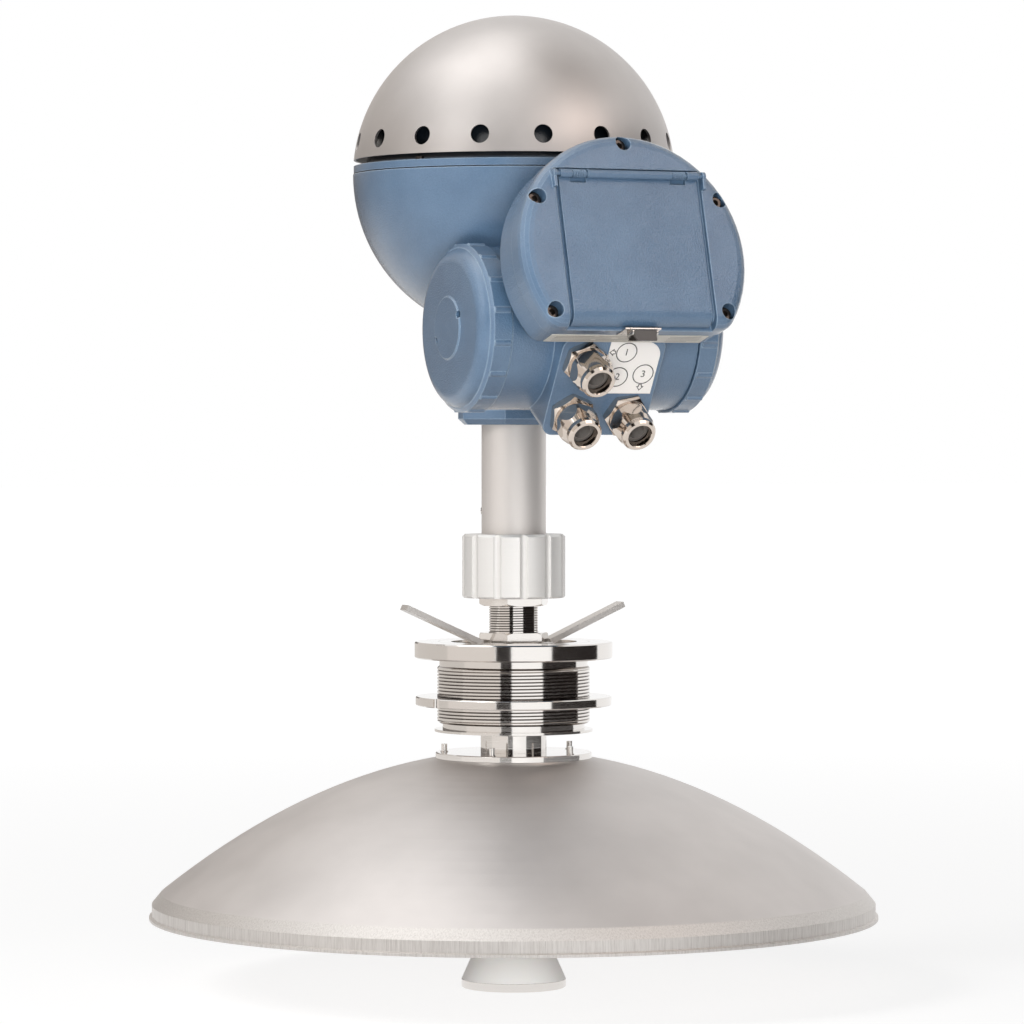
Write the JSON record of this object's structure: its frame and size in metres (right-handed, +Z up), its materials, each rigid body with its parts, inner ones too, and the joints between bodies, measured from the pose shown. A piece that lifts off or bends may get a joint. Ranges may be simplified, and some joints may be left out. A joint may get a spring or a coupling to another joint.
{
  "type": "radar level transmitter",
  "caption": "Tank radar gauge head with weather hood, tilted flap display and cable glands on a threaded flange, above a downward parabolic reflector with a cone feed.",
  "frame": {"origin": "centre of the underside of the top flange, the face that seats on the tank", "axes": "+Z up along the waveguide, the display faces -Y, the terminal drum lies along X"},
  "size_m": [0.44, 0.44, 0.5868],
  "materials": {
    "cast_paint": "satin blue enamel on cast aluminium",
    "steel_polished": "polished stainless steel",
    "steel_satin": "satin spun or turned stainless steel",
    "steel_hood": "bead blasted stainless sheet",
    "alu_raw": "machined aluminium",
    "nickel": "nickel plated brass",
    "ptfe": "milled PTFE",
    "rubber": "matt black rubber",
    "terminal": "moulded terminal strip",
    "board": "circuit board",
    "lcd": "display glass",
    "glass": "clear pane",
    "label": "bare laminated label",
    "clip": "dark grey moulded clip"
  },
  "bodies": {
    "frame": {"dish": "steel_satin", "feeder_collar": "steel_polished", "dish_screws": "steel_polished", "dish_nuts": "steel_polished", "waveguide_tube": "steel_satin", "feed_cone": "ptfe", "subreflector": "steel_polished", "feed_screw": "steel_polished", "flange_barrel": "steel_polished", "tab_washer": "steel_polished", "adapter": "steel_polished", "column_seal": "rubber", "sleeve_pipe": "steel_satin", "pipe_pin": "steel_polished", "inner_waveguide": "steel_satin", "head_casting": "cast_paint", "transmitter_unit": "alu_raw", "unit_screws": "steel_polished", "bowl_gasket": "rubber", "head_lid": "cast_paint", "lid_screws": "steel_polished", "left_cap_seal": "rubber", "right_cap_seal": "rubber", "left_terminals": "terminal", "right_terminals": "terminal", "entry_label": "label", "gland_body_1": "nickel", "gland_seal_1": "rubber", "gland_body_2": "nickel", "gland_seal_2": "rubber", "gland_body_3": "nickel", "gland_seal_3": "rubber", "display_housing": "cast_paint", "nameplate": "label", "cover_gasket": "rubber", "display_cover": "cast_paint", "display_board": "board", "lcd_module": "lcd", "display_window": "glass", "cover_screws": "steel_polished", "hinge_pin": "steel_polished", "left_spring": "steel_polished", "right_spring": "steel_polished", "latch_bracket": "steel_polished"},
    "hood": {"hood": "steel_hood", "hood_screw": "steel_polished"},
    "left_cap": {"left_cap": "cast_paint"},
    "right_cap": {"right_cap": "cast_paint"},
    "grip_nut": {"grip_nut": "steel_polished"},
    "ring_nut": {"ring_nut": "steel_polished"},
    "lock_nut": {"lock_nut": "steel_polished"},
    "gland_nut_1": {"gland_nut_1": "nickel"},
    "gland_nut_2": {"gland_nut_2": "nickel"},
    "gland_nut_3": {"gland_nut_3": "nickel"},
    "display_flap": {"display_flap": "cast_paint"},
    "latch_clip": {"latch_clip": "clip"}
  },
  "joints": [
    {"name": "hood_lift", "type": "slide", "parent": "frame", "child": "hood", "axis": [0, 0, 1], "range_m": [0, 0.11]},
    {"name": "left_cap_turn", "type": "hinge", "parent": "frame", "child": "left_cap", "pos_m": [-0.066, -0.085, 0.197], "axis": [-1, 0, 0], "continuous": true},
    {"name": "right_cap_turn", "type": "hinge", "parent": "frame", "child": "right_cap", "pos_m": [0.066, -0.085, 0.197], "axis": [1, 0, 0], "continuous": true},
    {"name": "grip_nut_turn", "type": "hinge", "parent": "frame", "child": "grip_nut", "pos_m": [0, 0, 0.055], "axis": [0, 0, 1], "continuous": true},
    {"name": "ring_nut_turn", "type": "hinge", "parent": "frame", "child": "ring_nut", "pos_m": [0, 0, -0.0265], "axis": [0, 0, 1], "continuous": true},
    {"name": "lock_nut_turn", "type": "hinge", "parent": "frame", "child": "lock_nut", "pos_m": [0, 0, 0.0125], "axis": [0, 0, 1], "continuous": true},
    {"name": "gland_nut_1_turn", "type": "hinge", "parent": "frame", "child": "gland_nut_1", "pos_m": [-0.0173, -0.15185, 0.16914], "axis": [0, -0.848, -0.5299], "continuous": true},
    {"name": "gland_nut_2_turn", "type": "hinge", "parent": "frame", "child": "gland_nut_2", "pos_m": [-0.0173, -0.13297, 0.13892], "axis": [0, -0.848, -0.5299], "continuous": true},
    {"name": "gland_nut_3_turn", "type": "hinge", "parent": "frame", "child": "gland_nut_3", "pos_m": [0.0173, -0.13297, 0.13892], "axis": [0, -0.848, -0.5299], "continuous": true},
    {"name": "flap_lift", "type": "hinge", "parent": "frame", "child": "display_flap", "pos_m": [0, -0.16198, 0.28373], "axis": [1, 0, 0], "range_deg": [-100, 0]},
    {"name": "latch_swing", "type": "hinge", "parent": "frame", "child": "latch_clip", "pos_m": [0, -0.18251, 0.19322], "axis": [1, 0, 0], "range_deg": [-60, 0]}
  ]
}
